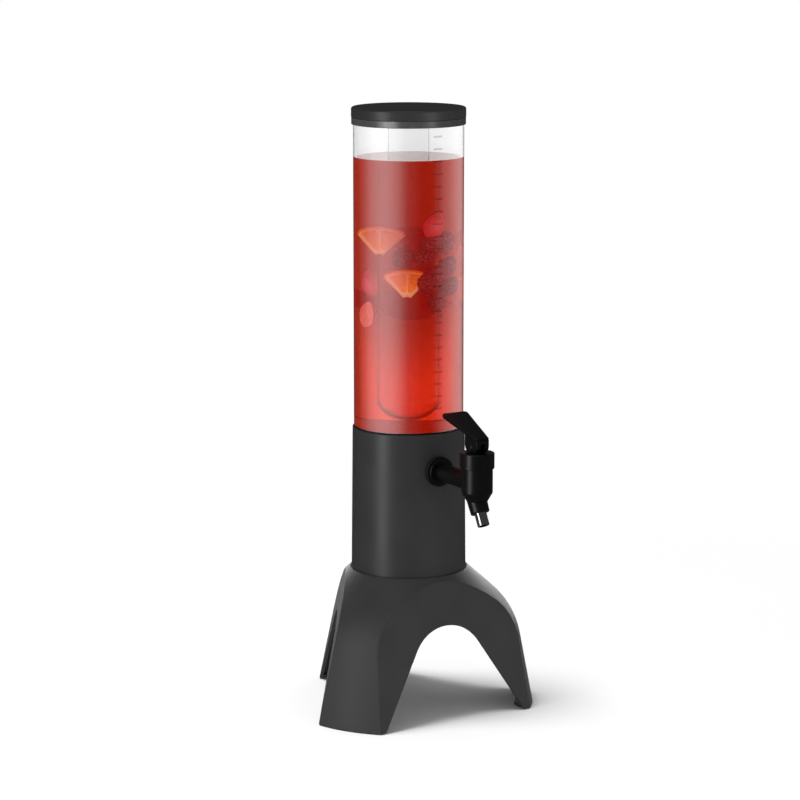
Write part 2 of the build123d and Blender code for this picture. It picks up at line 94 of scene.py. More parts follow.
def moulded_plastic(name, colours, roughness, grain):
    """Moulded plastic: two near tones in slow patches, a slow change of gloss and the mould's fine grain."""
    patch = 35 * MM
    patch_range = (0.3, 0.7)
    gloss_change = 0.03
    material, tree = new_material(name)
    place = add_node(tree, "ShaderNodeTexCoord")
    patches = add_node(
        tree, "ShaderNodeTexNoise", {"Scale": 1 / patch, "Detail": 2.0}, {"Vector": place.outputs["Object"]}
    )
    tone = add_node(
        tree, "ShaderNodeValToRGB", links={"Fac": patches.outputs["Fac"]}, stops=zip(patch_range, colours)
    )
    gloss = add_node(
        tree,
        "ShaderNodeMapRange",
        {
            "From Min": patch_range[0],
            "From Max": patch_range[1],
            "To Min": roughness - gloss_change,
            "To Max": roughness + gloss_change,
        },
        {"Value": patches.outputs["Fac"]},
    )
    texture = add_node(
        tree, "ShaderNodeTexNoise", {"Scale": 1 / grain, "Detail": 3.0}, {"Vector": place.outputs["Object"]}
    )
    relief = add_node(
        tree,
        "ShaderNodeBump",
        {"Strength": 0.25, "Distance": 0.04 * MM},
        {"Height": texture.outputs["Fac"]},
    )
    surface = add_node(
        tree,
        "ShaderNodeBsdfPrincipled",
        {"IOR": 1.53},
        {
            "Base Color": tone.outputs["Color"],
            "Roughness": gloss.outputs["Result"],
            "Normal": relief.outputs["Normal"],
        },
    )
    add_node(tree, "ShaderNodeOutputMaterial", links={"Surface": surface.outputs["BSDF"]})
    return material


# The real grain is about 0.1 mm, too fine for the picture, and is drawn at 0.9 mm to show
coarse_abs = moulded_plastic("textured_dark_abs", ("#39393a", "#3d3d3e"), 0.55, 0.9 * MM)
dress(coarse_abs, "base_shell")


# Feet: three rubber discs, each held by a stem pushed through the sole of a leg.
# Moulded nitrile rubber is dull, black and slightly dusty.
def dull_rubber(name, colours, roughness, grain):
    """Rubber: a dull skin, speckled with paler dust."""
    material, tree = new_material(name)
    place = add_node(tree, "ShaderNodeTexCoord")
    speckle = add_node(
        tree, "ShaderNodeTexNoise", {"Scale": 1 / grain, "Detail": 4.0}, {"Vector": place.outputs["Object"]}
    )
    dust = add_node(
        tree, "ShaderNodeValToRGB", links={"Fac": speckle.outputs["Fac"]}, stops=zip((0.45, 0.8), colours)
    )
    relief = add_node(
        tree, "ShaderNodeBump", {"Strength": 0.3, "Distance": 0.05 * MM}, {"Height": speckle.outputs["Fac"]}
    )
    surface = add_node(
        tree,
        "ShaderNodeBsdfPrincipled",
        {"IOR": 1.52, "Roughness": roughness},
        {"Base Color": dust.outputs["Color"], "Normal": relief.outputs["Normal"]},
    )
    add_node(tree, "ShaderNodeOutputMaterial", links={"Surface": surface.outputs["BSDF"]})
    return material


black_rubber = dull_rubber("moulded_black_rubber", ("#0e0e0e", "#1a1a1a"), 0.75, 1.5 * MM)
dress(black_rubber, "foot_left", "foot_right", "foot_rear")


# Twist lock: a ring of the base's ABS in its socket, held by three stainless pan-head screws.
# The screws are cold headed and tumbled, which leaves a fine even sheen.
def worn_metal(name, colours, roughness, patch):
    """Bare or plated metal: a little duller where it was handled."""
    wear = 1.6
    smudge_range = (0.35, 0.7)
    material, tree = new_material(name)
    place = add_node(tree, "ShaderNodeTexCoord")
    smudge = add_node(
        tree, "ShaderNodeTexNoise", {"Scale": 1 / patch, "Detail": 3.0}, {"Vector": place.outputs["Object"]}
    )
    tone = add_node(
        tree, "ShaderNodeValToRGB", links={"Fac": smudge.outputs["Fac"]}, stops=zip(smudge_range, colours)
    )
    gloss = add_node(
        tree,
        "ShaderNodeMapRange",
        {
            "From Min": smudge_range[0],
            "From Max": smudge_range[1],
            "To Min": roughness,
            "To Max": roughness * wear,
        },
        {"Value": smudge.outputs["Fac"]},
    )
    surface = add_node(
        tree,
        "ShaderNodeBsdfPrincipled",
        {"Metallic": 1.0},
        {"Base Color": tone.outputs["Color"], "Roughness": gloss.outputs["Result"]},
    )
    add_node(tree, "ShaderNodeOutputMaterial", links={"Surface": surface.outputs["BSDF"]})
    return material


stainless = worn_metal("tumbled_stainless_steel", ("#b4b4b6", "#c6c6c7"), 0.24, 3 * MM)
dress(coarse_abs, "twist_lock_ring")
dress(stainless, "ring_screws")


# Lower housing: the dark ABS collar that the clear tube stands in and the tap goes through.
# It is moulded in one piece with a slight draft, smoother than the base, and turns onto the base's ring.
dark_abs = moulded_plastic("satin_dark_abs", ("#353536", "#39393a"), 0.38, 0.9 * MM)
dress(dark_abs, "lower_housing")


# Gaskets: a black rubber ring under the clear tube, and a soft ring of smoky silicone over its rim.
# Moulded silicone comes from the mould with a skin that shines a little.
silicone = dull_rubber("moulded_grey_silicone", ("#8b8c8b", "#9c9d9b"), 0.5, 2 * MM)
smoky_silicone = dull_rubber("moulded_smoky_silicone", ("#3e3f3f", "#484949"), 0.25, 6 * MM)
dress(black_rubber, "tube_gasket")
dress(smoky_silicone, "rim_gasket")


# Drink tube: extruded clear acrylic, cut to length, with a neck that seats in the collar.
# Drawing leaves faint lines along it; otherwise it is polished and colourless.
acrylic_index = 1.49
wet_index = 1.0
tube_wall = 3.2 * MM
tube_low, tube_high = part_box("drink_tube")
tube_radius = tube_high.x
tube_inner = tube_radius - tube_wall
drink_level = 507.5 * MM


def clear_plastic(name, colour, line_width):
    """Clear plastic with faint lines along its length, and its surface."""
    stretch = 100
    material, tree = new_material(name)
    place = add_node(tree, "ShaderNodeTexCoord")
    along = add_node(
        tree, "ShaderNodeMapping", {"Scale": (1.0, 1.0, 1 / stretch)}, {"Vector": place.outputs["Object"]}
    )
    lines = add_node(
        tree,
        "ShaderNodeTexNoise",
        {"Scale": 1 / line_width, "Detail": 1.0},
        {"Vector": along.outputs["Vector"]},
    )
    relief = add_node(
        tree, "ShaderNodeBump", {"Strength": 0.05, "Distance": 0.02 * MM}, {"Height": lines.outputs["Fac"]}
    )
    surface = add_node(
        tree,
        "ShaderNodeBsdfPrincipled",
        {"Base Color": linear(colour), "Roughness": 0.0, "Transmission Weight": 1.0},
        {"Normal": relief.outputs["Normal"]},
    )
    add_node(tree, "ShaderNodeOutputMaterial", links={"Surface": surface.outputs["BSDF"]})
    return material, surface


acrylic, acrylic_surface = clear_plastic("polished_clear_acrylic", "#f8f8f8", 4 * MM)
acrylic_tree = acrylic.node_tree
# Where the bore is wet, the drink takes the air's place and the surface all but vanishes
bore_place = add_node(acrylic_tree, "ShaderNodeTexCoord")
bore_reach = add_node(
    acrylic_tree,
    "ShaderNodeVectorMath",
    {"operation": "MULTIPLY", 1: (1, 1, 0)},
    {0: bore_place.outputs["Object"]},
)
bore_radius = add_node(
    acrylic_tree, "ShaderNodeVectorMath", {"operation": "LENGTH"}, {0: bore_reach.outputs["Vector"]}
)
bore_inside = add_node(
    acrylic_tree,
    "ShaderNodeMath",
    {"operation": "LESS_THAN", 1: tube_inner + tube_wall / 4},
    {0: bore_radius.outputs["Value"]},
)
bore_height = add_node(acrylic_tree, "ShaderNodeSeparateXYZ", links={"Vector": bore_place.outputs["Object"]})
bore_under = add_node(
    acrylic_tree, "ShaderNodeMath", {"operation": "LESS_THAN", 1: drink_level}, {0: bore_height.outputs["Z"]}
)
bore_wet = add_node(
    acrylic_tree,
    "ShaderNodeMath",
    {"operation": "MULTIPLY"},
    {0: bore_inside.outputs["Value"], 1: bore_under.outputs["Value"]},
)
bore_index = add_node(
    acrylic_tree,
    "ShaderNodeMapRange",
    {"To Min": acrylic_index, "To Max": wet_index},
    {"Value": bore_wet.outputs["Value"]},
)
acrylic_tree.links.new(bore_index.outputs["Result"], acrylic_surface.inputs["IOR"])
dress(acrylic, "drink_tube")


# Measure: a scale of ticks and plain numbers on the front of the tube, screen printed in thin dark ink.
# Each tick is a sixteenth of a litre of what the tube holds around the ice tube, with a number at
# each quarter. So thin an ink lets the drink show through.
litre = 0.001
ticks_per_litre = 16
ticks_per_number = 4
tick_count = 24
ice_radius = 20 * MM
tick_pitch = litre / ticks_per_litre / (pi * (tube_inner**2 - ice_radius**2))
long_tick = 10 * MM
short_tick = 9 * MM
tick_height = 1.6 * MM
print_radius = tube_radius + 0.06 * MM
print_low = tube_low.z + 27.2 * MM
digit_height = 3.0 * MM
digit_lift = 4.0 * MM
digit_share = 0.7
upright = Matrix.Rotation(pi / 2, 4, "X")
sharp_angle = radians(35)


def finish_piece(name, shape, finishes, body, smooth=False):
    """Makes a mesh object of a bmesh, gives it its finishes, and lets it ride on its body."""
    for edge in shape.edges:
        edge.smooth = edge.calc_face_angle(pi) < sharp_angle
    mesh = bpy.data.meshes.new(name)
    shape.to_mesh(mesh)
    shape.free()
    for face in mesh.polygons:
        face.use_smooth = smooth
    for finish in finishes:
        mesh.materials.append(finish)
    piece = bpy.data.objects.new(name, mesh)
    bpy.context.scene.collection.objects.link(piece)
    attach(piece, body)
    return piece


ink, ink_tree = new_material("screen_printed_grey_ink")
ink_place = add_node(ink_tree, "ShaderNodeTexCoord")
ink_speckle = add_node(
    ink_tree,
    "ShaderNodeTexNoise",
    {"Scale": 1 / (1.2 * MM), "Detail": 2.0},
    {"Vector": ink_place.outputs["Object"]},
)
ink_tone = add_node(
    ink_tree,
    "ShaderNodeValToRGB",
    links={"Fac": ink_speckle.outputs["Fac"]},
    stops=((0.3, "#3c3d3e"), (0.75, "#484949")),
)
ink_surface = add_node(
    ink_tree,
    "ShaderNodeBsdfPrincipled",
    {"Roughness": 0.6, "Specular IOR Level": 0.1, "Alpha": 0.3},
    {"Base Color": ink_tone.outputs["Color"]},
)
add_node(ink_tree, "ShaderNodeOutputMaterial", links={"Surface": ink_surface.outputs["BSDF"]})

scale_print = bmesh.new()
for tick in range(tick_count + 1):
    numbered = tick % ticks_per_number == 0
    size = long_tick if numbered else short_tick
    height = print_low + tick * tick_pitch
    bmesh.ops.create_grid(
        scale_print,
        x_segments=6,
        y_segments=1,
        size=0.5,
        matrix=Matrix.Translation((0, 0, height)) @ upright @ Matrix.Diagonal((size, tick_height, 1, 1)),
    )
    if numbered and tick:
        words = bpy.data.curves.new("digits", "FONT")
        words.body = str(1000 * tick // ticks_per_litre)
        words.size = digit_height / digit_share
        words.align_x = "CENTER"
        words.resolution_u = 3
        carrier = bpy.data.objects.new("digits", words)
        digits = bpy.data.meshes.new_from_object(carrier)
        digits.transform(Matrix.Translation((0, 0, height + digit_lift)) @ upright)
        scale_print.from_mesh(digits)
        bpy.data.objects.remove(carrier)
        bpy.data.curves.remove(words)
        bpy.data.meshes.remove(digits)
# The flat print is bent round the tube's front
for v in scale_print.verts:
    turn = v.co.x / print_radius
    v.co = Vector((print_radius * sin(turn), -print_radius * cos(turn), v.co.z))
finish_piece("scale_print", scale_print, [ink], "tower")


# Tap: a black glass-filled nylon valve through the collar wall, held by a nut inside on two gaskets.
# Moulded nylon has a half gloss. Its lever lifts a spring-loaded stem off the seat, and the mouth of its
# spout is a chromed sleeve that mirrors the room.
black_nylon = moulded_plastic("half_gloss_black_nylon", ("#090909", "#0c0c0c"), 0.34, 0.8 * MM)
chrome = worn_metal("polished_chrome_plate", ("#d6d6d8", "#e2e2e3"), 0.07, 6 * MM)
dress(black_nylon, "tap_body", "tap_bonnet", "tap_nut", "tap_lever", "spout_elbow", "valve_stem")
dress(black_rubber, "outer_gasket")
dress(silicone, "inner_gasket", "bonnet_seal", "spout_seal", "seat_cup")
dress(stainless, "lever_pin")
dress(chrome, "spout_nozzle")


# Valve spring: one stainless wire wound round the stem, from the disc on the stem to the bonnet.
# It is wound again here as round wire, in place of the imported coil.
spring_wire = 1.0 * MM
spring_turns = 6
turn_steps = 24
spring_low, spring_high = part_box("valve_spring")
spring_centre = (spring_low + spring_high) / 2
spring_height = spring_high.z - spring_low.z
wire_start = Vector((spring_high.x - spring_wire / 2, spring_centre.y, spring_low.z + spring_wire / 2))
spring = bmesh.new()
bmesh.ops.create_circle(
    spring, segments=12, radius=spring_wire / 2, matrix=Matrix.Translation(wire_start) @ upright
)
bmesh.ops.spin(
    spring,
    geom=spring.edges[:],
    axis=(0, 0, 1),
    cent=spring_centre,
    dvec=(0, 0, (spring_height - spring_wire) / (spring_turns * turn_steps)),
    angle=2 * pi * spring_turns,
    steps=spring_turns * turn_steps,
    use_merge=False,
)
bmesh.ops.holes_fill(spring, edges=[e for e in spring.edges if e.is_boundary])
bmesh.ops.recalc_face_normals(spring, faces=spring.faces)
spring_coil = finish_piece("spring_coil", spring, [stainless], "tower", smooth=True)
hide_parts("valve_spring")
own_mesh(spring_coil)


# Drink: a red fruit punch that fills the tube to a few fingers below the lid, made down to the collar.
# It is nearly clear: its colour comes from how far light goes through it, and from a painted red glow that
# stands in for light scattered by fine pulp.
water_index = 1.34
drink_overlap = 0.3 * MM
drink_radius = tube_inner + drink_overlap
collar_rim = 262 * MM
drink_foot = collar_rim + drink_overlap
drink_edge = 2 * drink_overlap
drink_steps = 128

punch, punch_tree = new_material("clear_red_punch")
punch_place = add_node(punch_tree, "ShaderNodeTexCoord")
punch_height = add_node(punch_tree, "ShaderNodeSeparateXYZ", links={"Vector": punch_place.outputs["Object"]})
# The side meets the wet bore and bends no light, while the top and the foot bend it as water does
punch_side = add_node(
    punch_tree,
    "ShaderNodeMath",
    {
        "operation": "COMPARE",
        1: (collar_rim + drink_level) / 2,
        2: (drink_level - collar_rim) / 2 - drink_edge,
    },
    {0: punch_height.outputs["Z"]},
)
punch_index = add_node(
    punch_tree,
    "ShaderNodeMapRange",
    {"To Min": water_index, "To Max": wet_index},
    {"Value": punch_side.outputs["Value"]},
)
punch_surface = add_node(
    punch_tree,
    "ShaderNodeBsdfPrincipled",
    {"Base Color": linear("#ffffff"), "Roughness": 0.0, "Transmission Weight": 1.0},
    {"IOR": punch_index.outputs["Result"]},
)
punch_depth = add_node(
    punch_tree, "ShaderNodeVolumeAbsorption", {"Color": linear("#e79c57"), "Density": 77.3}
)
# A painted red glow in the drink's body stands in for the light that fine pulp would scatter from all round,
# so that the depths show a dark red
painted_punch_glow = add_node(punch_tree, "ShaderNodeEmission", {"Color": linear("#ff3f30"), "Strength": 3.1})
punch_body = add_node(
    punch_tree,
    "ShaderNodeAddShader",
    links={0: punch_depth.outputs["Volume"], 1: painted_punch_glow.outputs["Emission"]},
)
add_node(
    punch_tree,
    "ShaderNodeOutputMaterial",
    links={"Surface": punch_surface.outputs["BSDF"], "Volume": punch_body.outputs["Shader"]},
)

drink = bmesh.new()
drink_outline = [(0, drink_foot), (drink_radius, drink_foot), (drink_radius, drink_level), (0, drink_level)]
outline_points = [drink.verts.new((radius, 0, height)) for radius, height in drink_outline]
for a, b in zip(outline_points, outline_points[1:]):
    drink.edges.new((a, b))
bmesh.ops.spin(
    drink,
    geom=drink.verts[:] + drink.edges[:],
    axis=(0, 0, 1),
    cent=(0, 0, 0),
    angle=2 * pi,
    steps=drink_steps,
    use_merge=True,
)
bmesh.ops.remove_doubles(drink, verts=drink.verts, dist=0.001 * MM)
bmesh.ops.recalc_face_normals(drink, faces=drink.faces)
finish_piece("drink", drink, [punch], "tower", smooth=True)


# Orange wedges: parts of a thick wheel of orange, cut with their peel and left in the drink.
# The pulp is juicy and stands a little out of the pale pith and membranes round it.
wheel_radius = 30 * MM
wheel_tip = 5 * MM
wheel_thickness = 7 * MM
wheel_sweep = 70
peel_thickness = 2.2 * MM
peel_rounding = 0.6 * MM
pith_radius = wheel_radius - peel_thickness
pith_thickness = 0.8 * wheel_thickness
pith_rounding = 0.3 * MM
pulp_tip = wheel_tip + 1.5 * MM
pulp_radius = wheel_radius - 1.5 * peel_thickness
pulp_thickness = 0.95 * wheel_thickness
membrane_sweep = 3
pulp_sweep = wheel_sweep / 2 - membrane_sweep
pulp_rounding = 1.2 * MM
sector_step = 6
# Each fruit's turn from the tap's front, its reach from the axis and height in mm, and how it leans
orange_places = [
    (-34, 33, 382, (-36, 0, 0)),
    (-81, 28, 419, (-34, 0, 40)),
    (78, 38, 408, (5, 20, 6)),
    (108, 37, 368, (-6, -35, 0)),
]


def sector(shape, inner, outer, thickness, middle, sweep, rounding, finish):
    """Adds a rounded sector of a wheel that stands in X and Z and faces -Y, its middle turned from +Z."""
    known = set(shape.faces)
    corners = [(inner, -1), (outer, -1), (outer, 1), (inner, 1)]
    start = [shape.verts.new((0, side * thickness / 2, radius)) for radius, side in corners]
    face = shape.faces.new(start)
    bmesh.ops.rotate(shape, verts=start, matrix=Matrix.Rotation(radians(middle - sweep / 2), 3, "Y"))
    bmesh.ops.spin(
        shape,
        geom=[face],
        cent=(0, 0, 0),
        axis=(0, 1, 0),
        angle=radians(sweep),
        steps=max(2, round(sweep / sector_step)),
        use_merge=False,
    )
    made = [f for f in shape.faces if f not in known]
    bmesh.ops.recalc_face_normals(shape, faces=made)
    sharp = [e for e in {e for f in made for e in f.edges} if e.calc_face_angle(0) > sharp_angle]
    bmesh.ops.bevel(
        shape,
        geom=sharp,
        offset=rounding,
        offset_type="OFFSET",
        segments=2,
        profile=0.5,
        affect="EDGES",
        material=-1,
    )
    for f in shape.faces:
        if f not in known:
            f.material_index = finish


def afloat(turn, reach, height, lean):
    """Where a fruit hangs in the drink, as a matrix."""
    tilt = Euler([radians(angle) for angle in lean]).to_matrix().to_4x4()
    return Matrix.Rotation(radians(turn), 4, "Z") @ Matrix.Translation((0, -reach * MM, height * MM)) @ tilt


def drop_in(fruits, fruit, place):
    """Moves one finished fruit to its place in the drink and adds it to the others."""
    bmesh.ops.transform(fruit, matrix=afloat(*place), verts=fruit.verts)
    spare = bpy.data.meshes.new("spare")
    fruit.to_mesh(spare)
    fruit.free()
    fruits.from_mesh(spare)
    bpy.data.meshes.remove(spare)


def fruit_flesh(name, colours, grain, roughness, relief_depth, glow=0.5):
    """Cut or whole fruit: cells or skin in two tones, wet and softly uneven, with a painted glow in its own
    colours in place of light through the drink.
    """
    material, tree = new_material(name)
    place = add_node(tree, "ShaderNodeTexCoord")
    cells = add_node(tree, "ShaderNodeTexVoronoi", {"Scale": 1 / grain}, {"Vector": place.outputs["Object"]})
    tone = add_node(
        tree, "ShaderNodeValToRGB", links={"Fac": cells.outputs["Distance"]}, stops=zip((0.1, 0.7), colours)
    )
    relief = add_node(
        tree,
        "ShaderNodeBump",
        {"Strength": 0.5, "Distance": relief_depth},
        {"Height": cells.outputs["Distance"]},
    )
    # The emission is a painted glow in the fruit's own colours, standing in for light that comes through it
    # from the drink
    surface = add_node(
        tree,
        "ShaderNodeBsdfPrincipled",
        {"IOR": 1.36, "Roughness": roughness, "Emission Strength": glow},
        {
            "Base Color": tone.outputs["Color"],
            "Emission Color": tone.outputs["Color"],
            "Normal": relief.outputs["Normal"],
        },
    )
    add_node(tree, "ShaderNodeOutputMaterial", links={"Surface": surface.outputs["BSDF"]})
    return material


peel = fruit_flesh("orange_peel", ("#ef8a12", "#f6a02a"), 1.6 * MM, 0.35, 0.2 * MM)
pith = fruit_flesh("orange_pith", ("#f6d9a2", "#fbe9c6"), 1.2 * MM, 0.6, 0.1 * MM)
pulp = fruit_flesh("orange_pulp", ("#f58f14", "#ffb63c"), 2.6 * MM, 0.25, 0.3 * MM)
oranges = bmesh.new()
for place in orange_places:
    wedge = bmesh.new()
    sector(wedge, pith_radius, wheel_radius, wheel_thickness, 0, wheel_sweep, peel_rounding, 0)
    sector(wedge, wheel_tip, pith_radius, pith_thickness, 0, wheel_sweep, pith_rounding, 1)
    for side in (-1, 1):
        middle = side * wheel_sweep / 4
        sector(wedge, pulp_tip, pulp_radius, pulp_thickness, middle, pulp_sweep, pulp_rounding, 2)
    drop_in(oranges, wedge, place)
finish_piece("orange_wedges", oranges, [peel, pith, pulp], "tower", smooth=True)


# Berries: whole dark raspberries between the wedges, each a cluster of round drupelets.
# Their skin is deep red, smooth and wet.
berry_length = 20 * MM
berry_girth = 15 * MM
drupelet = 2.9 * MM
drupelet_sink = 0.6 * drupelet
drupelet_count = 40
core_radius = berry_girth / 2 - drupelet_sink
core_half = berry_length / 2 - drupelet_sink
golden_turn = pi * (3 - sqrt(5))
berry_places = [
    (-40, 29, 420, (20, 30, 0)),
    (-6, 30, 421, (0, 70, 20)),
    (-3, 30, 396, (40, -20, 0)),
    (10, 31, 404, (10, 80, 0)),
    (14, 30, 380, (0, 20, 30)),
    (36, 33, 392, (60, 10, 0)),
    (0, 34, 434, (30, 50, 0)),
    (22, 36, 432, (0, 10, 20)),
    (26, 36, 411, (50, 0, 10)),
]
berries = bmesh.new()
for place in berry_places:
    for index in range(drupelet_count):
        rise = 1 - 2 * (index + 0.5) / drupelet_count
        out = sqrt(1 - rise * rise) * core_radius
        turn = index * golden_turn
        spot = Vector((out * cos(turn), out * sin(turn), rise * core_half))
        bmesh.ops.create_icosphere(
            berries, subdivisions=2, radius=drupelet, matrix=afloat(*place) @ Matrix.Translation(spot)
        )
# The raspberries take half the painted glow of the other fruit
berry_skin = fruit_flesh("raspberry_skin", ("#942a32", "#a6323a"), 4 * MM, 0.3, 0.05 * MM, glow=0.25)
finish_piece("raspberries", berries, [berry_skin], "tower", smooth=True)


# Strawberries: halves with their leaves cut off, red outside and pink where they are cut.
# The skin is thin, wet and a little uneven over its seeds.
strawberry_length = 25 * MM
strawberry_girth = 19 * MM
# The girth follows part of a half wave, from this start at the stalk to this share of it at the tip
stalk_start = 0.25
tip_share = 0.62
strawberry_places = [
    (-84, 39, 396, (0, 20, 180)),
    (-92, 38, 367, (0, 20, 0)),
    (3, 36, 449, (0, -30, 180)),
    (58, 39, 420, (0, 60, 180)),
    (92, 39, 384, (0, -20, 180)),
    (112, 39, 426, (0, 30, 180)),
    (160, 39, 374, (0, 100, 180)),
    (144, 39, 367, (0, 60, 180)),
    (142, 39, 388, (0, -20, 180)),
    (146, 39, 410, (0, 15, 180)),
    (143, 39, 433, (0, -50, 180)),
]
strawberries = bmesh.new()
for place in strawberry_places:
    half = bmesh.new()
    bmesh.ops.create_uvsphere(half, u_segments=28, v_segments=18, radius=0.5)
    for v in half.verts:
        along = stalk_start + (1 - stalk_start) * (v.co.z + 0.5)
        swell = tip_share + (1 - tip_share) * sin(pi * min(1, along))
        girth = swell * strawberry_girth
        v.co = Vector((v.co.x * girth, v.co.y * girth, v.co.z * strawberry_length))
    cut = bmesh.ops.bisect_plane(
        half,
        geom=half.verts[:] + half.edges[:] + half.faces[:],
        plane_co=(0, 0, 0),
        plane_no=(0, -1, 0),
        clear_outer=True,
    )
    rim = [e for e in cut["geom_cut"] if isinstance(e, bmesh.types.BMEdge)]
    for f in bmesh.ops.triangle_fill(half, edges=rim, use_beauty=True)["geom"]:
        if isinstance(f, bmesh.types.BMFace):
            f.material_index = 1
    bmesh.ops.recalc_face_normals(half, faces=half.faces)
    drop_in(strawberries, half, place)
skin = fruit_flesh("strawberry_skin", ("#bc2e36", "#c8383e"), 3 * MM, 0.3, 0.1 * MM)
flesh = fruit_flesh("strawberry_flesh", ("#ee8884", "#e87270"), 6 * MM, 0.4, 0.1 * MM)
finish_piece("strawberry_halves", strawberries, [skin, flesh], "tower", smooth=True)


# Ice tube and lid: a clear styrene tube for ice, hung by its flange from the rim under the lid.
# Moulded styrene is as glossy as glass. The lid is a press-on cap of the collar's satin ABS.
styrene, styrene_surface = clear_plastic("moulded_clear_styrene", "#fcfcfc", 5 * MM)
# The drink round it takes most of its bending of light away, and leaves it its gloss
styrene_look = {"IOR": 1.03, "Coat Weight": 0.5, "Coat IOR": 1.59, "Coat Roughness": 0.03}
for name, value in styrene_look.items():
    styrene_surface.inputs[name].default_value = value
dress(styrene, "ice_tube")
dress(dark_abs, "lid")


# Floor: a round of white seamless paper under the tower, whose edge fades into the white studio.
# Paper is dull, so nothing but a soft shadow shows on it.
floor_radius = 0.9
fade_start = 0.35
paper, paper_tree = new_material("white_seamless_paper")
paper_place = add_node(paper_tree, "ShaderNodeTexCoord")
paper_cloud = add_node(
    paper_tree,
    "ShaderNodeTexNoise",
    {"Scale": 1 / (400 * MM), "Detail": 2.0},
    {"Vector": paper_place.outputs["Object"]},
)
paper_tone = add_node(
    paper_tree,
    "ShaderNodeValToRGB",
    links={"Fac": paper_cloud.outputs["Fac"]},
    stops=((0.3, "#f4f4f4"), (0.7, "#f6f6f6")),
)
paper_surface = add_node(
    paper_tree,
    "ShaderNodeBsdfPrincipled",
    {"Roughness": 0.9, "Specular IOR Level": 0.1},
    {"Base Color": paper_tone.outputs["Color"]},
)
paper_reach = add_node(
    paper_tree, "ShaderNodeVectorMath", {"operation": "LENGTH"}, {"Vector": paper_place.outputs["Object"]}
)
paper_fade = add_node(
    paper_tree,
    "ShaderNodeMapRange",
    {"From Min": fade_start, "From Max": floor_radius, "interpolation_type": "SMOOTHSTEP"},
    {"Value": paper_reach.outputs["Value"]},
)
paper_clear = add_node(paper_tree, "ShaderNodeBsdfTransparent")
paper_edge = add_node(
    paper_tree,
    "ShaderNodeMixShader",
    links={
        "Fac": paper_fade.outputs["Result"],
        1: paper_surface.outputs["BSDF"],
        2: paper_clear.outputs["BSDF"],
    },
)
add_node(paper_tree, "ShaderNodeOutputMaterial", links={"Surface": paper_edge.outputs["Shader"]})


def studio_piece(name, shape, material):
    """Makes a mesh object that belongs to the studio and not to the tower."""
    mesh = bpy.data.meshes.new(name)
    shape.to_mesh(mesh)
    shape.free()
    mesh.materials.append(material)
    piece = bpy.data.objects.new(name, mesh)
    bpy.context.scene.collection.objects.link(piece)
    return piece


floor_shape = bmesh.new()
bmesh.ops.create_circle(floor_shape, cap_ends=True, radius=floor_radius, segments=96)
studio_floor = studio_piece("studio_floor", floor_shape, paper)
studio_floor.visible_glossy = False


# Studio: plain white to the eye and through the clear parts, and dimmer as a light on the pieces.
# In highlights it is almost dark, so that the soft boxes alone draw them.
backdrop_white = 1.0
room_light = 0.43
room_gloss = 0.05
world = bpy.data.worlds.new("white_studio")
world.use_nodes = True
world.cycles.sampling_method = "NONE"
room = world.node_tree
room.nodes.clear()
ray = add_node(room, "ShaderNodeLightPath")
seen = add_node(
    room,
    "ShaderNodeMath",
    {"operation": "MAXIMUM"},
    {0: ray.outputs["Is Camera Ray"], 1: ray.outputs["Is Transmission Ray"]},
)
lit = add_node(
    room,
    "ShaderNodeMapRange",
    {"To Min": room_light, "To Max": room_gloss},
    {"Value": ray.outputs["Is Glossy Ray"]},
)
level = add_node(
    room,
    "ShaderNodeMapRange",
    {"To Max": backdrop_white},
    {"Value": seen.outputs["Value"], "To Min": lit.outputs["Result"]},
)
backdrop = add_node(
    room, "ShaderNodeBackground", {"Color": linear("#ffffff")}, {"Strength": level.outputs["Result"]}
)
add_node(room, "ShaderNodeOutputWorld", links={"Surface": backdrop.outputs["Background"]})
bpy.context.scene.world = world


# Lights: soft boxes on stands round the tower, each flagged so that it reaches some pieces only.
# Strips draw the upright bands and the pale edges on the dark plastic. Four tall cards, which fade to
# their sides, stand as pale bands in the clear tube.
camera_turn = -31.5


def around(turn, distance, height):
    """A point round the tower, its turn counted from the camera's side."""
    heading = radians(camera_turn + turn)
    return Vector((sin(heading) * distance, -cos(heading) * distance, height))


def flag(name, things):
    """A collection of the things that a light reaches or is shaded by."""
    flagged = bpy.data.collections.new(name)
    for thing in things:
        flagged.objects.link(thing)
    return flagged


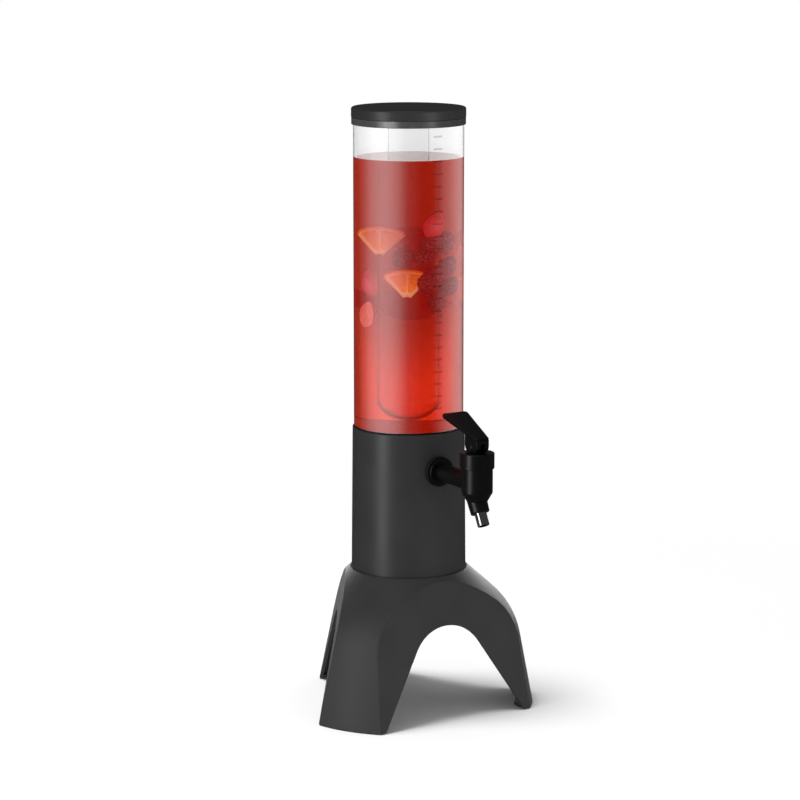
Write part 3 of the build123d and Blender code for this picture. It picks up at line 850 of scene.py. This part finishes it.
def softbox(name, place, aim, size, radiance, only, shaded_by=None, faded=False, shiny=True):
    """A soft light that points at a height on the tower's axis and reaches some things only.
    It may be shaded by some things only, fade to its sides or leave no highlights."""
    lamp = bpy.data.lights.new(name, "AREA")
    lamp.shape = "RECTANGLE"
    lamp.size, lamp.size_y = size
    lamp.energy = radiance * pi * size[0] * size[1]
    stand = bpy.data.objects.new(name, lamp)
    stand.location = place
    stand.rotation_euler = (place - Vector((0, 0, aim))).to_track_quat("Z", "Y").to_euler()
    stand.visible_camera = False
    stand.visible_transmission = False
    stand.visible_glossy = shiny
    bpy.context.scene.collection.objects.link(stand)
    stand.light_linking.receiver_collection = flag(name + "_lit", only)
    if shaded_by:
        stand.light_linking.blocker_collection = flag(name + "_shade", shaded_by)
    if faded:
        half = 0.5
        lamp.use_nodes = True
        glow = lamp.node_tree
        glow.nodes.clear()
        spot = add_node(glow, "ShaderNodeNewGeometry")
        across = add_node(glow, "ShaderNodeSeparateXYZ", links={"Vector": spot.outputs["Parametric"]})
        aside = add_node(glow, "ShaderNodeMath", {"operation": "SUBTRACT", 1: half}, {0: across.outputs["X"]})
        off = add_node(glow, "ShaderNodeMath", {"operation": "ABSOLUTE"}, {0: aside.outputs["Value"]})
        fade = add_node(
            glow,
            "ShaderNodeMapRange",
            {"From Max": half, "To Min": 1.0, "To Max": 0.0, "interpolation_type": "SMOOTHSTEP"},
            {"Value": off.outputs["Value"]},
        )
        bell = add_node(glow, "ShaderNodeMath", {"operation": "POWER", 1: 2.0}, {0: fade.outputs["Result"]})
        shine = add_node(glow, "ShaderNodeEmission", links={"Strength": bell.outputs["Value"]})
        add_node(glow, "ShaderNodeOutputLight", links={"Surface": shine.outputs["Emission"]})


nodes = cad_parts
tube = nodes["drink_tube"]
solid_parts = [node for node in nodes.values() if node is not tube]
low_parts = [nodes[name] for name in ("base_shell", "lower_housing", "foot_left", "foot_right", "foot_rear")]
cap_parts = [nodes["lid"], nodes["rim_gasket"]]
rim_parts = [nodes["rim_gasket"]]
base_parts = [nodes["base_shell"]]
softbox("key_strip", around(-53, 1.3, 0.45), aim=0.45, size=(0.42, 1.3), radiance=3.0, only=solid_parts)
softbox("cap_strip", around(46, 1.3, 0.5), aim=0.5, size=(0.42, 0.9), radiance=1.4, only=cap_parts)
softbox("rim_strip", around(-37, 1.3, 0.5), aim=0.5, size=(0.6, 0.9), radiance=5.0, only=rim_parts)
softbox("top_softbox", around(-20, 0.3, 2.2), aim=0.3, size=(1.4, 1.4), radiance=0.45, only=solid_parts)
softbox(
    "floor_softbox",
    around(-85, 1.3, 4.2),
    aim=0,
    size=(1.6, 1.6),
    radiance=19.5,
    only=[studio_floor],
    shaded_by=low_parts,
)
softbox(
    "panel_fill",
    around(45, 1.8, 0.25),
    aim=0.3,
    size=(1.2, 0.8),
    radiance=2.4,
    only=solid_parts,
    shiny=False,
)
for side, turn in (("left", -158), ("right", 158)):
    edge_place = around(turn, 1.5, 0.42)
    softbox(side + "_edge", edge_place, aim=0.13, size=(0.9, 0.9), radiance=4.0, only=base_parts)
# Each card's side, turn, width and radiance
card_height = 0.9
tube_cards = [
    ("left", -52, 3.0, 4.7),
    ("front", -8, 1.8, 0.5),
    ("side", -98, 1.3, 0.7),
    ("right", 106, 3.4, 2.1),
]
for side, turn, width, radiance in tube_cards:
    card_size = (width, card_height)
    softbox(side + "_card", around(turn, 0.9, 0.3), 0.3, card_size, radiance, [tube], faded=True)


# Glow card: a flat card that gives off its own light as a lamp does, lying on the floor behind the tower and
# fading to its edges.
# It shows only through the clear parts, where it lights the drink up from its foot.
glow_distance = 1.5
glow_lift = 2 * MM
glow_reach = (2.2, 0.9)
glow_radiance = 3.0
card, card_tree = new_material("glowing_card_light")
card_place = add_node(card_tree, "ShaderNodeTexCoord")
card_spread = add_node(
    card_tree,
    "ShaderNodeMapping",
    {"Scale": (1 / glow_reach[0], 1 / glow_reach[1], 1)},
    {"Vector": card_place.outputs["Object"]},
)
card_reach = add_node(
    card_tree, "ShaderNodeVectorMath", {"operation": "LENGTH"}, {"Vector": card_spread.outputs["Vector"]}
)
card_fade = add_node(
    card_tree,
    "ShaderNodeMapRange",
    {"To Min": 1.0, "To Max": 0.0, "interpolation_type": "SMOOTHSTEP"},
    {"Value": card_reach.outputs["Value"]},
)
card_clear = add_node(card_tree, "ShaderNodeBsdfTransparent")
card_shine = add_node(card_tree, "ShaderNodeEmission", {"Strength": glow_radiance})
card_edge = add_node(
    card_tree,
    "ShaderNodeMixShader",
    links={
        "Fac": card_fade.outputs["Result"],
        1: card_clear.outputs["BSDF"],
        2: card_shine.outputs["Emission"],
    },
)
add_node(card_tree, "ShaderNodeOutputMaterial", links={"Surface": card_edge.outputs["Shader"]})
card_shape = bmesh.new()
bmesh.ops.create_grid(
    card_shape, x_segments=1, y_segments=1, size=1, matrix=Matrix.Diagonal((*glow_reach, 1, 1))
)
glow_card = studio_piece("glow_card", card_shape, card)
glow_card.location = around(180, glow_distance, glow_lift)
glow_card.rotation_euler = (0, 0, radians(camera_turn))
glow_card.visible_camera = False
glow_card.visible_diffuse = False
glow_card.visible_glossy = False
glow_card.visible_shadow = False


# Camera: a long lens a little above the lid, to the left for someone who faces the tap.
# Its focal length and the shift of its picture are counted in pixels of the picture's width.
camera_distance = 2.6
camera_height = 0.76
camera_aim = 0.27
focal_pixels = 2891
frame_pixels = 800
frame_offset = (8.6, 15.4)
lens = bpy.data.cameras.new("photo_camera")
lens.sensor_width = 36
lens.lens = focal_pixels / frame_pixels * lens.sensor_width
lens.shift_x = -frame_offset[0] / frame_pixels
lens.shift_y = frame_offset[1] / frame_pixels
lens.clip_end = 100
camera = bpy.data.objects.new("photo_camera", lens)
camera.location = around(0, camera_distance, camera_height)
camera.rotation_euler = (camera.location - Vector((0, 0, camera_aim))).to_track_quat("Z", "Y").to_euler()
bpy.context.scene.collection.objects.link(camera)
bpy.context.scene.camera = camera
bpy.context.scene.view_settings.view_transform = "Standard"
